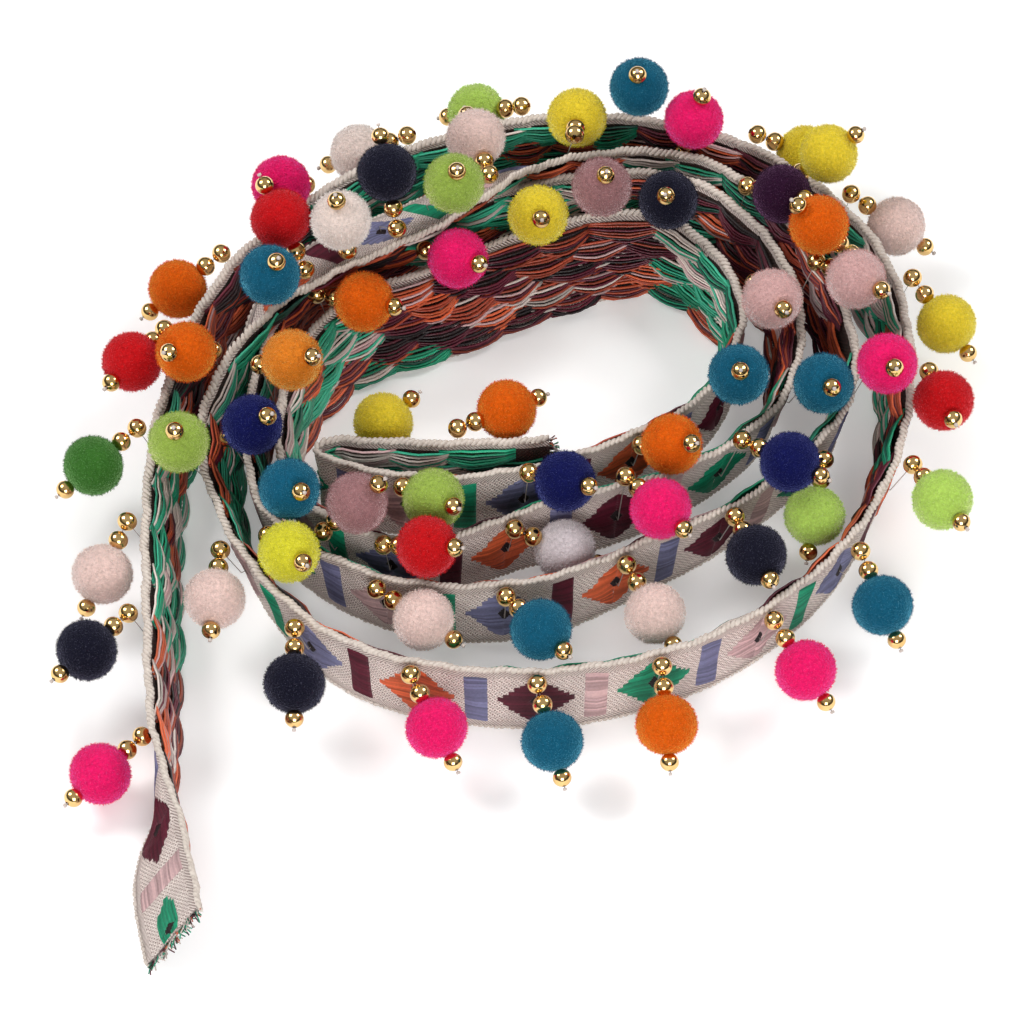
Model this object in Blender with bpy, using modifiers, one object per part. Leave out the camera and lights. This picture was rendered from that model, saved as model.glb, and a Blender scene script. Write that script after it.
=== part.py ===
"""Pompom trim: a woven tape wound in a loose coil on its edge, with beaded pompoms along its face.

Sizes and places are in millimetres and become metres when a mesh is made. The tape's route starts
at the loose end in front, runs clockwise (seen from above) from the outer turn to the inner one,
and ends in a short hairpin inside the coil. Bearings turn the same way: 0 is left, 90 is the back,
180 is right and 270 is the front.
"""
import math

import bpy
import bmesh
import numpy as np
from mathutils import Matrix, Vector
from mathutils.bvhtree import BVHTree

MM = 0.001

# The tape
TAPE_WIDTH = 16.0
TAPE_THICK = 1.2
RIM_WIDTH = 1.6
RIM_THICK = 1.7
FOOT_WIDTH = 1.0
STATION_STEP = 6.0
TURN_STEP = 2.0
SHARP_TURN = math.radians(18)

# The coil stands with the middle of its box on the origin
COIL_CENTRE = (1.71, 17.38)

# The drops
DROP_FIRST = 39.0
DROP_PITCH = 18.7
BEAD_RADIUS = 1.6
POMPOM_RADIUS = 5.0
THREAD_RADIUS = 0.35
THREAD_REACH = 1.2
BEAD_SPACING = 3.3
POMPOM_SPACING = 5.9
DROP_SIDES = 6

# The strip that each two or more drops are sewn to
STRIP_WIDTH = 1.4
STRIP_THICK = 0.4
STRIP_GAP = 0.4
STRIP_END = 1.2
STRIP_DIAMONDS = 2.2
BEAD_SEAT = 1.4

STRIP_STEP = 3.9

# How a drop may lie: the room kept round each ball, and the poses that are tried
CLEARANCE = 0.4
SWINGS = range(-180, 180, 15)
RISES = range(-30, 91, 12)
CLIMBS = (0, 3, 6, 8, 10, 12, 14)
SETTLE_SWEEPS = 4

BEARINGS = (0, 30, 60, 90, 120, 150, 180, 210, 240, 270, 300, 330)

# Distance of the tape's middle line from the coil's centre, a row for each turn, outermost first
RADIUS = (
    (56.5, 53.5, 53.6, 58.0, 62.6, 62.8, 58.6, 57.2, 56.7, 57.1, 58.1, 53.6),
    (49.2, 43.4, 38.6, 49.0, 57.2, 53.8, 49.6, 39.4, 35.3, 38.9, 43.9, 47.2),
    (43.8, 44.4, 41.2, 44.2, 51.0, 47.0, 38.6, 28.4, 23.4, 24.2, 35.4, 41.4),
    (38.4, 33.4, 27.8, 31.4, 41.2, 38.4, 27.5),
)

# How far the wall leans outwards in degrees; the second turn lies back over the third at the left
LEAN = (
    (15, 15, 10, 5, 5, 10, 15, 12, 8, 5, 8, 15),
    (15, -52, -57, -40, -5, 5, 12, 15, 8, 5, 8, 12),
    (5, -12, -15, 0, 8, 12, 15, 12, 5, 5, 8, 12),
    (8, 22, 32, 30, 15, 5, 5),
)

# How far the lower edge is lifted off the floor
LIFT = (
    (0, 0, 0, 0, 0, 0, 0, 0, 0, 0, 0, 0),
    (0, 12.3, 13.6, 7.4, 0.5, 0, 0, 0, 0, 0, 0, 0),
    (0, 0, 0, 0, 0, 0, 0, 0, 0, 0, 0, 0),
    (0, 0, 0, 0, 0, 0, 0),
)

# The loose end, from its cut end to the coil: x, y, lean, lift
LOOSE_END = (
    (-54.5, -103.0, -33, 0),
    (-57.0, -88.0, -30, 0),
    (-57.6, -70.0, 5, 0),
    (-58.2, -45.0, 15, 0),
    (-58.8, -20.0, 15, 0),
)

# The hairpin that ends the tape inside the coil: x, y, lean, lift
INNER_END = (
    (13.5, -9.5, 8, 0),
    (0.0, -15.5, 5, 0),
    (-13.0, -17.8, 5, 0),
    (-24.0, -16.8, 3, 0),
    (-31.0, -14.6, 3, 0),
    (-33.6, -12.6, 3, 0),
    (-31.0, -11.0, 3, 0),
    (-24.0, -11.4, 3, 0),
    (-13.0, -11.8, 3, 0),
    (3.0, -11.0, 3, 0),
)

# The felts' colours
FELT = {
    "acid": (0.62, 0.68, 0.06),
    "blue": (0.05, 0.16, 0.42),
    "green": (0.02, 0.21, 0.05),
    "leaf": (0.36, 0.55, 0.10),
    "light pink": (0.76, 0.50, 0.50),
    "lime": (0.52, 0.66, 0.20),
    "magenta": (0.62, 0.02, 0.16),
    "mauve": (0.38, 0.27, 0.30),
    "navy": (0.01, 0.02, 0.10),
    "orange": (0.88, 0.27, 0.01),
    "pale pink": (0.80, 0.62, 0.60),
    "pink": (0.76, 0.22, 0.36),
    "purple": (0.22, 0.06, 0.26),
    "red": (0.62, 0.01, 0.02),
    "tan": (0.72, 0.32, 0.08),
    "teal": (0.01, 0.24, 0.36),
    "white": (0.72, 0.70, 0.72),
    "yellow": (0.70, 0.56, 0.04),
}

# One row for each drop from the loose end inwards: the felt's colour, how far the drop swings
# along the tape and how far it rises in degrees, and how far its thread climbs the wall first.
# Five diamonds lie under the second turn and have no room for a drop: theirs are in the next table.
DROPS = (
    ("magenta", -45, -6, 0), ("navy", -45, -6, 8), ("light pink", -60, -30, 8),
    ("green", -45, -18, 8), ("red", -75, 6, 10), ("orange", -60, -30, 8),
    ("magenta", -105, 42, 8), ("pale pink", -60, -30, 8), ("lime", -60, -30, 8),
    ("teal", 150, 30, 10), ("yellow", 60, -30, 8), ("light pink", 60, -30, 8),
    ("yellow", 60, -30, 8), ("red", 75, 18, 8), ("lime", 45, 6, 8),
    ("teal", 30, -30, 8), ("magenta", 0, -30, 8), ("orange", 15, -30, 8),
    ("teal", -15, -30, 8), ("magenta", -45, -30, 8), ("navy", -45, -18, 8),
    ("light pink", -60, -6, 8), ("leaf", -75, 66, 8), ("orange", -75, 42, 8),
    ("red", 15, 54, 8), ("navy", 15, 42, 8), ("light pink", 30, -6, 8),
    ("yellow", 15, -30, 14), ("magenta", 90, 78, 3), ("yellow", 90, 54, 8),
    ("orange", -180, 66, 8), ("magenta", 90, 18, 10), ("lime", 60, -30, 8),
    ("navy", 15, 6, 10), ("light pink", 0, -18, 8), ("teal", -30, 6, 8),
    ("light pink", -75, -6, 8), ("acid", -90, 6, 12), ("blue", -135, 54, 8),
    (None, 105, 42, 12), (None, 0, -30, 3), (None, -45, 6, 0),
    (None, -45, 6, 0), (None, -15, -30, 0), ("purple", 90, 30, 10),
    ("pink", 30, 18, 10), ("teal", 60, 42, 8), ("blue", -15, 6, 14),
    ("magenta", -15, 6, 14), ("white", -60, -30, 8), ("red", -90, 6, 12),
    ("teal", -90, 30, 10), ("tan", -150, 42, 14), ("orange", 90, 42, 3),
    ("magenta", 90, 30, 8), ("yellow", -180, 42, 10), ("navy", 165, 54, 8),
    ("pink", 90, 30, 8), ("teal", 60, 54, 8), ("orange", -15, 42, 8),
    ("blue", -30, 30, 10), ("leaf", -45, 30, 8), ("yellow", 60, 18, 0),
    ("orange", 60, -6, 8),
)

# The drops that come out between two diamonds of a turn close by: the place counted in diamonds
# from the first drop, then as above
BETWEEN = (
    (23.5, "teal", -150, 66, 10),
    (24.5, "pale pink", -120, 78, 8),
    (25.5, "leaf", -150, 66, 8),
    (50.5, "mauve", -120, 54, 8),
    (55.5, "mauve", -180, 66, 8),
)


def route_rows():
    """Every row of the tables as x, y, lean, lift."""
    rows = [list(row) for row in LOOSE_END]
    for radii, leans, lifts in zip(RADIUS, LEAN, LIFT):
        for bearing, radius, lean, lift in zip(BEARINGS, radii, leans, lifts):
            angle = math.radians(bearing)
            rows.append([-radius * math.cos(angle), radius * math.sin(angle), lean, lift])
    rows += [list(row) for row in INNER_END]
    return np.array(rows, dtype=float)


def smooth(rows, steps=24):
    """A centripetal Catmull-Rom curve through the rows."""
    ends = [2 * rows[0] - rows[1], 2 * rows[-1] - rows[-2]]
    points = np.vstack([ends[0], rows, ends[1]])
    curve = []
    for i in range(1, len(points) - 2):
        p0, p1, p2, p3 = points[i - 1:i + 3]
        t1 = np.linalg.norm((p1 - p0)[:2]) ** 0.5
        t2 = t1 + np.linalg.norm((p2 - p1)[:2]) ** 0.5
        t3 = t2 + np.linalg.norm((p3 - p2)[:2]) ** 0.5
        for t in np.linspace(t1, t2, steps, endpoint=False):
            a1 = p0 + (p1 - p0) * t / t1
            a2 = p1 + (p2 - p1) * (t - t1) / (t2 - t1)
            a3 = p2 + (p3 - p2) * (t - t2) / (t3 - t2)
            b1 = a1 + (a2 - a1) * t / t2
            b2 = a2 + (a3 - a2) * (t - t1) / (t3 - t1)
            curve.append(b1 + (b2 - b1) * (t - t1) / (t2 - t1))
    curve.append(points[-2])
    return np.array(curve)


class Route:
    """The tape's middle line, with its lean and lift, read by the length along it."""

    def __init__(self):
        curve = smooth(route_rows())
        self.lean = np.radians(curve[:, 2])
        self.lift = np.maximum(curve[:, 3], 0.0)
        foot = FOOT_WIDTH / 2 * np.abs(np.sin(self.lean))
        height = self.lift + TAPE_WIDTH / 2 * np.cos(self.lean) + foot
        self.middle = np.column_stack([curve[:, :2], height])
        steps = np.linalg.norm(np.diff(self.middle, axis=0), axis=1)
        self.along = np.concatenate([[0.0], np.cumsum(steps)])
        self.length = self.along[-1]

    def point(self, s):
        return np.array([np.interp(s, self.along, column) for column in self.middle.T])

    def frame(self, s, reach=1.2):
        """The middle point, the travel, the outward direction, the wall's rise and its outer normal."""
        before = self.point(max(s - reach, 0.0))
        after = self.point(min(s + reach, self.length))
        travel = (after - before) * (1, 1, 0)
        travel /= np.linalg.norm(travel)
        outward = np.array([-travel[1], travel[0], 0.0])
        upward = np.array([0.0, 0.0, 1.0])
        lean = np.interp(s, self.along, self.lean)
        rise = outward * math.sin(lean) + upward * math.cos(lean)
        normal = outward * math.cos(lean) - upward * math.sin(lean)
        return self.point(s), travel, outward, rise, normal

    def stations(self, start, end, step=STATION_STEP, turn=TURN_STEP):
        """Lengths along the tape, closer together where it turns sharply."""
        found = [start]
        while found[-1] < end - 1e-6:
            here = self.frame(found[-1])[1]
            there = self.frame(min(found[-1] + step, end))[1]
            sharp = math.acos(np.clip(here @ there, -1, 1))
            stride = turn if sharp > SHARP_TURN else step
            found.append(min(found[-1] + stride, end))
        if len(found) > 2 and found[-1] - found[-2] < turn / 2:
            found.pop(-2)
        return found


def wall_tree(route, along=2.0):
    """A search tree over the sheet that lies in the middle of the tape's thickness."""
    corners = []
    for s in np.linspace(0, route.length, int(route.length / along)):
        middle, _, _, rise, _ = route.frame(s)
        half = rise * (TAPE_WIDTH - RIM_THICK) / 2
        corners += [middle - half, middle + half]
    faces = [(i, i + 1, i + 3, i + 2) for i in range(0, len(corners) - 2, 2)]
    return BVHTree.FromPolygons([Vector(corner) for corner in corners], faces)


class Drop:
    """Two beads, a pompom and an end bead on a thread that leaves the tape's outer face."""

    reaches = np.array([0.0, BEAD_SPACING, BEAD_SPACING + POMPOM_SPACING, BEAD_SPACING + 2 * POMPOM_SPACING])
    radii = np.array([BEAD_RADIUS, BEAD_RADIUS, POMPOM_RADIUS, BEAD_RADIUS])

    def __init__(self, route, s, colour, swing, rise, climb):
        middle, self.travel, self.outward, self.up, normal = route.frame(s)
        self.s = s
        self.colour = colour
        self.root = middle + normal * (TAPE_THICK / 2 + STRIP_GAP + STRIP_THICK / 2)
        self.seat = self.root + normal * (STRIP_THICK / 2 + BEAD_SEAT)
        tried = [(a, b, c) for a in SWINGS for b in RISES for c in CLIMBS]
        tried.append((swing, rise, climb))
        self.heads = np.array([self.heading(a, b) for a, b, _ in tried])
        self.starts = np.array([self.seat + self.up * c for _, _, c in tried])
        self.places = self.starts[:, None] + self.reaches[:, None] * self.heads[:, None]
        self.pick(-1)

    def heading(self, swing, rise):
        swing = math.radians(swing)
        rise = math.radians(rise)
        level = self.outward * math.cos(swing) + self.travel * math.sin(swing)
        return level * math.cos(rise) + np.array([0, 0, math.sin(rise)])

    def pick(self, pose):
        self.direction = self.heads[pose]
        self.balls = self.places[pose]


def depth_cost(depth):
    """A high price for a pose that touches something, rising with how deep it goes."""
    return np.where(depth > 0, 30 + 20 * depth, 0.0)


def wall_cost(drop, tree):
    """The price of every pose of a drop against the tape and the floor."""
    cost = np.zeros(len(drop.places))
    for ball, radius in enumerate(drop.radii):
        keep = radius + RIM_THICK / 2 + CLEARANCE
        for pose, place in enumerate(drop.places[:, ball]):
            found = tree.find_nearest(Vector(place), keep)
            if found[0] is not None:
                cost[pose] += depth_cost(keep - found[3])
    for share in (0.4, 0.55, 0.7, 0.85):
        for pose, start in enumerate(drop.starts):
            found = tree.find_nearest(Vector(drop.root + (start - drop.root) * share), THREAD_REACH)
            if found[0] is not None:
                cost[pose] += depth_cost(THREAD_REACH - found[3])
    floor = (drop.radii - drop.places[:, :, 2]).max(axis=1)
    return cost + depth_cost(floor)


def settle(route, drops):
    """Gives each drop the pose nearest to its row in which it clears the tape, the floor and the rest."""
    tree = wall_tree(route)
    choices = []
    for drop in drops:
        moved = np.linalg.norm(drop.places[:, 2] - drop.places[-1, 2], axis=1)
        price = moved + wall_cost(drop, tree)
        best = np.argsort(price, kind="stable")[:400]
        choices.append((best, price[best]))
        drop.pick(best[0])
    for _ in range(SETTLE_SWEEPS):
        for drop, (best, price) in zip(drops, choices):
            others = [other for other in drops if 0 < np.linalg.norm(other.seat - drop.seat) < 50]
            points = np.vstack([other.balls for other in others])
            radii = np.concatenate([other.radii for other in others])
            places = drop.places[best]
            room = np.linalg.norm(places[:, :, None] - points, axis=3) - radii
            depth = drop.radii[:, None] + CLEARANCE - room
            touched = depth_cost(depth.max(axis=2)).sum(axis=1)
            drop.pick(best[int((price + touched).argmin())])


def lay_drops(route):
    """The settled drops, a list for each strip."""
    rows = [(number, *row) for number, row in enumerate(DROPS) if row[0]]
    strips = {}
    for number, colour, swing, rise, climb in sorted(rows + list(BETWEEN)):
        drop = Drop(route, DROP_FIRST + DROP_PITCH * number, colour, swing, rise, climb)
        strips.setdefault(number // STRIP_DIAMONDS, []).append(drop)
    settle(route, [drop for drops in strips.values() for drop in drops])
    return list(strips.values())


# Making the solids

# The tape's section, from the lower edge up the outer face and down the inner one: up, outward
SECTION = (
    (-TAPE_WIDTH / 2, -FOOT_WIDTH / 2),
    (-TAPE_WIDTH / 2, FOOT_WIDTH / 2),
    (-TAPE_WIDTH / 2 + RIM_WIDTH / 2, RIM_THICK / 2),
    (-TAPE_WIDTH / 2 + RIM_WIDTH, TAPE_THICK / 2),
    (TAPE_WIDTH / 2 - RIM_WIDTH, TAPE_THICK / 2),
    (TAPE_WIDTH / 2 - RIM_WIDTH / 2, RIM_THICK / 2),
    (TAPE_WIDTH / 2, 0.0),
    (TAPE_WIDTH / 2 - RIM_WIDTH / 2, -RIM_THICK / 2),
    (TAPE_WIDTH / 2 - RIM_WIDTH, -TAPE_THICK / 2),
    (-TAPE_WIDTH / 2 + RIM_WIDTH, -TAPE_THICK / 2),
    (-TAPE_WIDTH / 2 + RIM_WIDTH / 2, -RIM_THICK / 2),
)

# Half of a drop's outline, from its end bead down to its first bead: radius, height
OUTLINE = (
    (0.0, 16.7),
    (1.3, 16.05),
    (1.5, 14.7),
    (2.7, 13.4),
    (4.6, 11.1),
    (4.9, 8.3),
    (3.6, 5.7),
    (1.25, 4.3),
    (1.5, 2.9),
    (0.5, 1.65),
    (1.5, 0.4),
    (1.2, -1.0),
    (0.0, -1.6),
)


def placed(point):
    """A point of the layout, in metres, with the coil's centre where it stands."""
    return (Vector(point) + Vector((*COIL_CENTRE, 0.0))) * MM


def material(name, colour, roughness, metallic=0.0):
    made = bpy.data.materials.new(name)
    made.use_nodes = True
    shader = made.node_tree.nodes["Principled BSDF"]
    shader.inputs["Base Color"].default_value = (*colour, 1.0)
    shader.inputs["Roughness"].default_value = roughness
    shader.inputs["Metallic"].default_value = metallic
    return made


def mesh_object(name, corners, faces, collection):
    mesh = bpy.data.meshes.new(name)
    mesh.from_pydata([placed(corner) for corner in corners], [], faces)
    work = bmesh.new()
    work.from_mesh(mesh)
    bmesh.ops.recalc_face_normals(work, faces=work.faces)
    work.to_mesh(mesh)
    work.free()
    made = bpy.data.objects.new(name, mesh)
    collection.objects.link(made)
    return made


def loft(name, rings, collection):
    """A closed body over rings that all have the same number of corners."""
    size = len(rings[0])
    corners = [corner for ring in rings for corner in ring]
    faces = [tuple(range(size)), tuple(range(len(corners) - size, len(corners)))]
    for ring in range(len(rings) - 1):
        for side in range(size):
            here = ring * size + side
            beside = ring * size + (side + 1) % size
            faces.append((here, beside, beside + size, here + size))
    return mesh_object(name, corners, faces, collection)


def make_tape(route, collection):
    rings = []
    for s in route.stations(0.0, route.length):
        middle, _, _, rise, normal = route.frame(s)
        ring = [middle + rise * up + normal * out for up, out in SECTION]
        floor = min(ring[0][2], ring[1][2])
        ring[0][2] = floor
        ring[1][2] = floor
        rings.append(ring)
    return loft("tape", rings, collection)


def make_strip(route, drops, name, collection):
    """The flat strip that the drops are sewn to, close to the tape's outer face."""
    rings = []
    for s in route.stations(drops[0].s - STRIP_END, drops[-1].s + STRIP_END, STRIP_STEP):
        middle, _, _, rise, normal = route.frame(s)
        centre = middle + normal * (TAPE_THICK / 2 + STRIP_GAP + STRIP_THICK / 2)
        up = rise * STRIP_WIDTH / 2
        out = normal * STRIP_THICK / 2
        rings.append([centre - up - out, centre + up - out, centre + up + out, centre - up + out])
    return loft(name, rings, collection)


def make_thread(drop, collection):
    """The short thread from the strip to the drop's first bead."""
    run = drop.balls[0] - drop.root
    run /= np.linalg.norm(run)
    side = np.cross(run, (0.0, 0.0, 1.0))
    side /= np.linalg.norm(side)
    cross = np.cross(run, side)
    rings = []
    for end in (drop.root, drop.balls[0]):
        rings.append([end + THREAD_RADIUS * (side * a + cross * b) for a, b in ((1, 0), (0, 1), (-1, 0), (0, -1))])
    return loft("thread", rings, collection)


def turned_drop(collection):
    """Beads and pompom turned in one from their outline, standing on the first bead's middle."""
    mesh = bpy.data.meshes.new("turned_drop")
    corners = [(radius * MM, 0.0, height * MM) for radius, height in OUTLINE]
    mesh.from_pydata(corners, [(i, i + 1) for i in range(len(corners) - 1)], [])
    made = bpy.data.objects.new("turned_drop", mesh)
    collection.objects.link(made)
    screw = made.modifiers.new("turn", "SCREW")
    screw.steps = DROP_SIDES
    screw.render_steps = DROP_SIDES
    screw.use_merge_vertices = True
    screw.merge_threshold = 0.00001
    return made


def flattened(made):
    """The object's mesh with its modifiers taken up."""
    graph = bpy.context.evaluated_depsgraph_get()
    return bpy.data.meshes.new_from_object(made.evaluated_get(graph))


def unite(body, tools):
    for tool in tools:
        joint = body.modifiers.new("unite", "BOOLEAN")
        joint.operation = "UNION"
        joint.solver = "EXACT"
        joint.object = tool
        plain = flattened(body)
        body.modifiers.clear()
        body.data = plain
    for tool in tools:
        bpy.data.objects.remove(tool)


def make_drops(route, drops, name, turned, collection, guides):
    body = make_strip(route, drops, name, collection)
    tools = []
    for drop in drops:
        head = bpy.data.objects.new("head", turned.copy())
        guides.objects.link(head)
        turn = Vector((0.0, 0.0, 1.0)).rotation_difference(Vector(drop.direction))
        head.matrix_world = Matrix.Translation(placed(drop.balls[0])) @ turn.to_matrix().to_4x4()
        tools += [make_thread(drop, guides), head]
    unite(body, tools)
    return body


def main():
    for old in list(bpy.data.objects):
        bpy.data.objects.remove(old)
    parts = bpy.data.collections.new("pompom_trim")
    guides = bpy.data.collections.new("guides")
    bpy.context.scene.collection.children.link(parts)
    bpy.context.scene.collection.children.link(guides)
    guides.hide_render = True

    route = Route()
    tape = make_tape(route, parts)
    tape.data.materials.append(material("twill_tape", (0.78, 0.74, 0.68), 0.85))
    outline = turned_drop(guides)
    bpy.context.view_layer.update()
    turned = flattened(outline)
    bpy.data.objects.remove(outline)
    for number, drops in enumerate(lay_drops(route), 1):
        name = "drops_%02d" % number
        made = make_drops(route, drops, name, turned, parts, guides)
        made.data.materials.clear()
        made.data.materials.append(material(name + "_felt", FELT[drops[0].colour], 0.95))
    for made in parts.objects:
        made.data.polygons.foreach_set("use_smooth", [True] * len(made.data.polygons))
    bpy.context.view_layer.update()


main()
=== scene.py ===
"""Looks for the roll of pompom trim: woven tape, rope edges, satin motifs, loose floats, felt and beads.

The first half repeats the sizes, tables and route of the solids, in millimetres.
"""
import math

import bpy
import numpy as np
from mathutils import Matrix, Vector
from mathutils.bvhtree import BVHTree


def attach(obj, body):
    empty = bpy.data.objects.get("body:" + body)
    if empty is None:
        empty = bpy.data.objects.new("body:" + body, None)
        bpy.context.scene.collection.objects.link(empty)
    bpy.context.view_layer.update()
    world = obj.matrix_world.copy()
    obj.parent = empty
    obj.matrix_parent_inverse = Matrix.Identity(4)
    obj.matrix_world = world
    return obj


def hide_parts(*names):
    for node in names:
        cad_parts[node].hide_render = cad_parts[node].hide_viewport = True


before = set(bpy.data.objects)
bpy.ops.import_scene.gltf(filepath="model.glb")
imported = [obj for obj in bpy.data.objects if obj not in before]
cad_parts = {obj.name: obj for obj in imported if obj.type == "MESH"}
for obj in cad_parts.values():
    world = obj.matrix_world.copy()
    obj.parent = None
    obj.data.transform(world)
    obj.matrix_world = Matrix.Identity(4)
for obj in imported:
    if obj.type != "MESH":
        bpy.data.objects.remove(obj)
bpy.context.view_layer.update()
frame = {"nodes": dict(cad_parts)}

MM = 0.001

# The tape
TAPE_WIDTH = 16.0
TAPE_THICK = 1.2
RIM_THICK = 1.7
FOOT_WIDTH = 1.0

# The coil stands with the middle of its box on the origin
COIL_CENTRE = np.array([1.71, 17.38, 0.0])

# The drops
DROP_FIRST = 39.0
DROP_PITCH = 18.7
BEAD_RADIUS = 1.6
POMPOM_RADIUS = 5.0
BEAD_SPACING = 3.3
POMPOM_SPACING = 5.9

# The strip that neighbouring drops are sewn to, how many diamonds it takes in and how its beads stand off
STRIP_THICK = 0.4
STRIP_GAP = 0.4
STRIP_DIAMONDS = 2.2
BEAD_SEAT = 1.4

# How a drop may lie: the room kept round each ball, the room kept round its thread and where along the thread
# that is looked at, the poses that are tried, and how many of the best ones are kept
CLEARANCE = 0.4
THREAD_REACH = 1.2
THREAD_SHARES = (0.4, 0.55, 0.7, 0.85)
SWINGS = range(-180, 180, 15)
RISES = range(-30, 91, 12)
CLIMBS = (0, 3, 6, 8, 10, 12, 14)
POSES_KEPT = 400

# How far off a drop's neighbours are, how often all drops are settled, and the price of a touch and its depth
NEIGHBOURS = 50
SETTLE_SWEEPS = 4
TOUCH_PRICE = 30
DEPTH_PRICE = 20

# Distance of the tape's middle line from the coil's centre, a row for each turn, outermost first,
# at bearings in degrees from the left and clockwise as seen from above
BEARINGS = (0, 30, 60, 90, 120, 150, 180, 210, 240, 270, 300, 330)
RADIUS = (
    (56.5, 53.5, 53.6, 58.0, 62.6, 62.8, 58.6, 57.2, 56.7, 57.1, 58.1, 53.6),
    (49.2, 43.4, 38.6, 49.0, 57.2, 53.8, 49.6, 39.4, 35.3, 38.9, 43.9, 47.2),
    (43.8, 44.4, 41.2, 44.2, 51.0, 47.0, 38.6, 28.4, 23.4, 24.2, 35.4, 41.4),
    (38.4, 33.4, 27.8, 31.4, 41.2, 38.4, 27.5),
)

# How far the wall leans outwards in degrees; the second turn lies back over the third at the left
LEAN = (
    (15, 15, 10, 5, 5, 10, 15, 12, 8, 5, 8, 15),
    (15, -52, -57, -40, -5, 5, 12, 15, 8, 5, 8, 12),
    (5, -12, -15, 0, 8, 12, 15, 12, 5, 5, 8, 12),
    (8, 22, 32, 30, 15, 5, 5),
)

# How far the lower edge is lifted off the floor
LIFT = (
    (0, 0, 0, 0, 0, 0, 0, 0, 0, 0, 0, 0),
    (0, 12.3, 13.6, 7.4, 0.5, 0, 0, 0, 0, 0, 0, 0),
    (0, 0, 0, 0, 0, 0, 0, 0, 0, 0, 0, 0),
    (0, 0, 0, 0, 0, 0, 0),
)

# The loose end, from its cut end to the coil: x, y, lean, lift
LOOSE_END = (
    (-54.5, -103.0, -33, 0),
    (-57.0, -88.0, -30, 0),
    (-57.6, -70.0, 5, 0),
    (-58.2, -45.0, 15, 0),
    (-58.8, -20.0, 15, 0),
)

# The hairpin that ends the tape inside the coil: x, y, lean, lift
INNER_END = (
    (13.5, -9.5, 8, 0),
    (0.0, -15.5, 5, 0),
    (-13.0, -17.8, 5, 0),
    (-24.0, -16.8, 3, 0),
    (-31.0, -14.6, 3, 0),
    (-33.6, -12.6, 3, 0),
    (-31.0, -11.0, 3, 0),
    (-24.0, -11.4, 3, 0),
    (-13.0, -11.8, 3, 0),
    (3.0, -11.0, 3, 0),
)

# One row for each drop from the loose end inwards: the felt's colour, how far the drop swings
# along the tape and how far it rises in degrees, and how far its thread climbs the wall first.
# Five diamonds lie under the second turn and have no room for a drop: theirs are in the next table.
DROPS = (
    ("magenta", -45, -6, 0), ("navy", -45, -6, 8), ("light pink", -60, -30, 8),
    ("green", -45, -18, 8), ("red", -75, 6, 10), ("orange", -60, -30, 8),
    ("magenta", -105, 42, 8), ("pale pink", -60, -30, 8), ("lime", -60, -30, 8),
    ("teal", 150, 30, 10), ("yellow", 60, -30, 8), ("light pink", 60, -30, 8),
    ("yellow", 60, -30, 8), ("red", 75, 18, 8), ("lime", 45, 6, 8),
    ("teal", 30, -30, 8), ("magenta", 0, -30, 8), ("orange", 15, -30, 8),
    ("teal", -15, -30, 8), ("magenta", -45, -30, 8), ("navy", -45, -18, 8),
    ("light pink", -60, -6, 8), ("leaf", -75, 66, 8), ("orange", -75, 42, 8),
    ("red", 15, 54, 8), ("navy", 15, 42, 8), ("light pink", 30, -6, 8),
    ("yellow", 15, -30, 14), ("magenta", 90, 78, 3), ("yellow", 90, 54, 8),
    ("orange", -180, 66, 8), ("magenta", 90, 18, 10), ("lime", 60, -30, 8),
    ("navy", 15, 6, 10), ("light pink", 0, -18, 8), ("teal", -30, 6, 8),
    ("light pink", -75, -6, 8), ("acid", -90, 6, 12), ("blue", -135, 54, 8),
    (None, 105, 42, 12), (None, 0, -30, 3), (None, -45, 6, 0),
    (None, -45, 6, 0), (None, -15, -30, 0), ("purple", 90, 30, 10),
    ("pink", 30, 18, 10), ("teal", 60, 42, 8), ("blue", -15, 6, 14),
    ("magenta", -15, 6, 14), ("white", -60, -30, 8), ("red", -90, 6, 12),
    ("teal", -90, 30, 10), ("tan", -150, 42, 14), ("orange", 90, 42, 3),
    ("magenta", 90, 30, 8), ("yellow", -180, 42, 10), ("navy", 165, 54, 8),
    ("pink", 90, 30, 8), ("teal", 60, 54, 8), ("orange", -15, 42, 8),
    ("blue", -30, 30, 10), ("leaf", -45, 30, 8), ("yellow", 60, 18, 0),
    ("orange", 60, -6, 8),
)

# The drops that come out between two diamonds of a turn close by: the place counted in diamonds
# from the first drop, then as above
BETWEEN = (
    (23.5, "teal", -150, 66, 10),
    (24.5, "pale pink", -120, 78, 8),
    (25.5, "leaf", -150, 66, 8),
    (50.5, "mauve", -120, 54, 8),
    (55.5, "mauve", -180, 66, 8),
)


def route_rows():
    """Every row of the tables as x, y, lean, lift."""
    rows = [list(row) for row in LOOSE_END]
    for radii, leans, lifts in zip(RADIUS, LEAN, LIFT):
        for bearing, radius, lean, lift in zip(BEARINGS, radii, leans, lifts):
            angle = math.radians(bearing)
            rows.append([-radius * math.cos(angle), radius * math.sin(angle), lean, lift])
    rows += [list(row) for row in INNER_END]
    return np.array(rows, dtype=float)


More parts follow.
